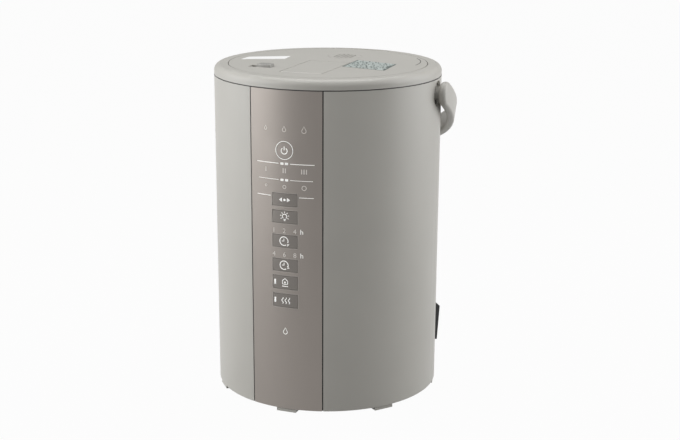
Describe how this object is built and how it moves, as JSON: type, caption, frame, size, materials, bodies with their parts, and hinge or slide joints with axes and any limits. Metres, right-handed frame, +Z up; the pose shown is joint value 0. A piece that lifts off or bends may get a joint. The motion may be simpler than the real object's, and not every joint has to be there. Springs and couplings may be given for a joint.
{
  "type": "steam humidifier",
  "caption": "Cylindrical kettle-style steam humidifier with curved touch panel, hinged lid with opening lever, bail handle and steel water vessel.",
  "frame": {"origin": "on the body's axis, on the surface that the feet stand on", "axes": "+Z up, -Y out of the control panel, +X to the right seen from the panel"},
  "size_m": [0.2354, 0.253, 0.3165],
  "materials": {
    "body_plastic": "satin moulded grey plastic",
    "panel_plastic": "pearl taupe moulded panel",
    "key_plastic": "dark grey moulded key",
    "knob_plastic": "grey moulded slider knob",
    "base_plastic": "dark grey moulded plastic",
    "black_plastic": "black moulded plastic",
    "silicone": "moulded silicone",
    "steel": "drawn stainless steel",
    "heater_alloy": "cast aluminium",
    "brass": "turned brass",
    "board_laminate": "green solder mask",
    "lamp_plastic": "clear white lamp"
  },
  "bodies": {
    "body": {"air_duct": "base_plastic", "base_screws": "steel", "base_tray": "base_plastic", "board_components": "black_plastic", "board_screws": "steel", "control_board": "board_laminate", "fan_housing": "base_plastic", "fan_motor": "steel", "feet": "body_plastic", "front_panel": "panel_plastic", "front_shell": "body_plastic", "heat_shield": "steel", "heater_clamp": "steel", "heater_plate": "heater_alloy", "hinge_pin": "steel", "indicator_lamps": "lamp_plastic", "inlet_housing": "black_plastic", "inlet_magnets": "steel", "inlet_pins": "brass", "inner_vessel": "steel", "keypad_mat": "silicone", "pivot_cups": "body_plastic", "power_board": "board_laminate", "rear_shell": "body_plastic", "shield_screws": "steel", "temperature_sensor": "steel", "thermal_fuse": "black_plastic", "top_ring": "body_plastic", "vessel_gasket": "silicone", "vessel_stand": "steel"},
    "lid": {"lid_cover": "body_plastic", "lever_pin": "steel", "inner_lid": "steel", "lid_gasket": "silicone", "lid_screws": "steel", "steam_tube": "base_plastic", "steam_cap": "body_plastic"},
    "lever": {"lid_lever": "body_plastic"},
    "latch": {"latch_bolt": "base_plastic"},
    "lock": {"lock_slider": "knob_plastic"},
    "handle": {"handle_bail": "body_plastic", "pivot_pins": "steel"},
    "fan": {"fan_rotor": "base_plastic", "fan_shaft": "steel"},
    "key_power": {"key_power": "key_plastic"},
    "key_select": {"key_select": "key_plastic"},
    "key_light": {"key_light": "key_plastic"},
    "key_off_timer": {"key_off_timer": "key_plastic"},
    "key_on_timer": {"key_on_timer": "key_plastic"},
    "key_lock": {"key_lock": "key_plastic"},
    "key_saver": {"key_saver": "key_plastic"}
  },
  "joints": [
    {"name": "lid_hinge", "type": "hinge", "parent": "body", "child": "lid", "pos_m": [0, 0.095, 0.3108], "axis": [-1, 0, 0], "range_deg": [0, 85]},
    {"name": "lever_hinge", "type": "hinge", "parent": "lid", "child": "lever", "pos_m": [0, -0.066, 0.31], "axis": [1, 0, 0], "range_deg": [0, 35]},
    {"name": "latch_slide", "type": "slide", "parent": "lid", "child": "latch", "axis": [0, 1, 0], "range_m": [0, 0.00464]},
    {"name": "lock_slide", "type": "slide", "parent": "lid", "child": "lock", "axis": [-1, 0, 0], "range_m": [0, 0.008]},
    {"name": "handle_hinge", "type": "hinge", "parent": "body", "child": "handle", "pos_m": [0, 0.006, 0.2897], "axis": [1, 0, 0], "range_deg": [0, 116]},
    {"name": "fan_spin", "type": "hinge", "parent": "body", "child": "fan", "pos_m": [0, 0.0537, 0.02], "axis": [0, 0, 1], "continuous": true},
    {"name": "key_power_press", "type": "slide", "parent": "body", "child": "key_power", "axis": [0, 1, 0], "range_m": [0, 0.0008], "stiffness_N_per_m": 800},
    {"name": "key_select_press", "type": "slide", "parent": "body", "child": "key_select", "axis": [0, 1, 0], "range_m": [0, 0.0008], "stiffness_N_per_m": 800},
    {"name": "key_light_press", "type": "slide", "parent": "body", "child": "key_light", "axis": [0, 1, 0], "range_m": [0, 0.0008], "stiffness_N_per_m": 800},
    {"name": "key_off_timer_press", "type": "slide", "parent": "body", "child": "key_off_timer", "axis": [0, 1, 0], "range_m": [0, 0.0008], "stiffness_N_per_m": 800},
    {"name": "key_on_timer_press", "type": "slide", "parent": "body", "child": "key_on_timer", "axis": [0, 1, 0], "range_m": [0, 0.0008], "stiffness_N_per_m": 800},
    {"name": "key_lock_press", "type": "slide", "parent": "body", "child": "key_lock", "axis": [0, 1, 0], "range_m": [0, 0.0008], "stiffness_N_per_m": 800},
    {"name": "key_saver_press", "type": "slide", "parent": "body", "child": "key_saver", "axis": [0, 1, 0], "range_m": [0, 0.0008], "stiffness_N_per_m": 800}
  ],
  "couplings": [
    {"joint": "latch_slide", "follows": "lever_hinge", "m_per_rad": 0.0076}
  ]
}
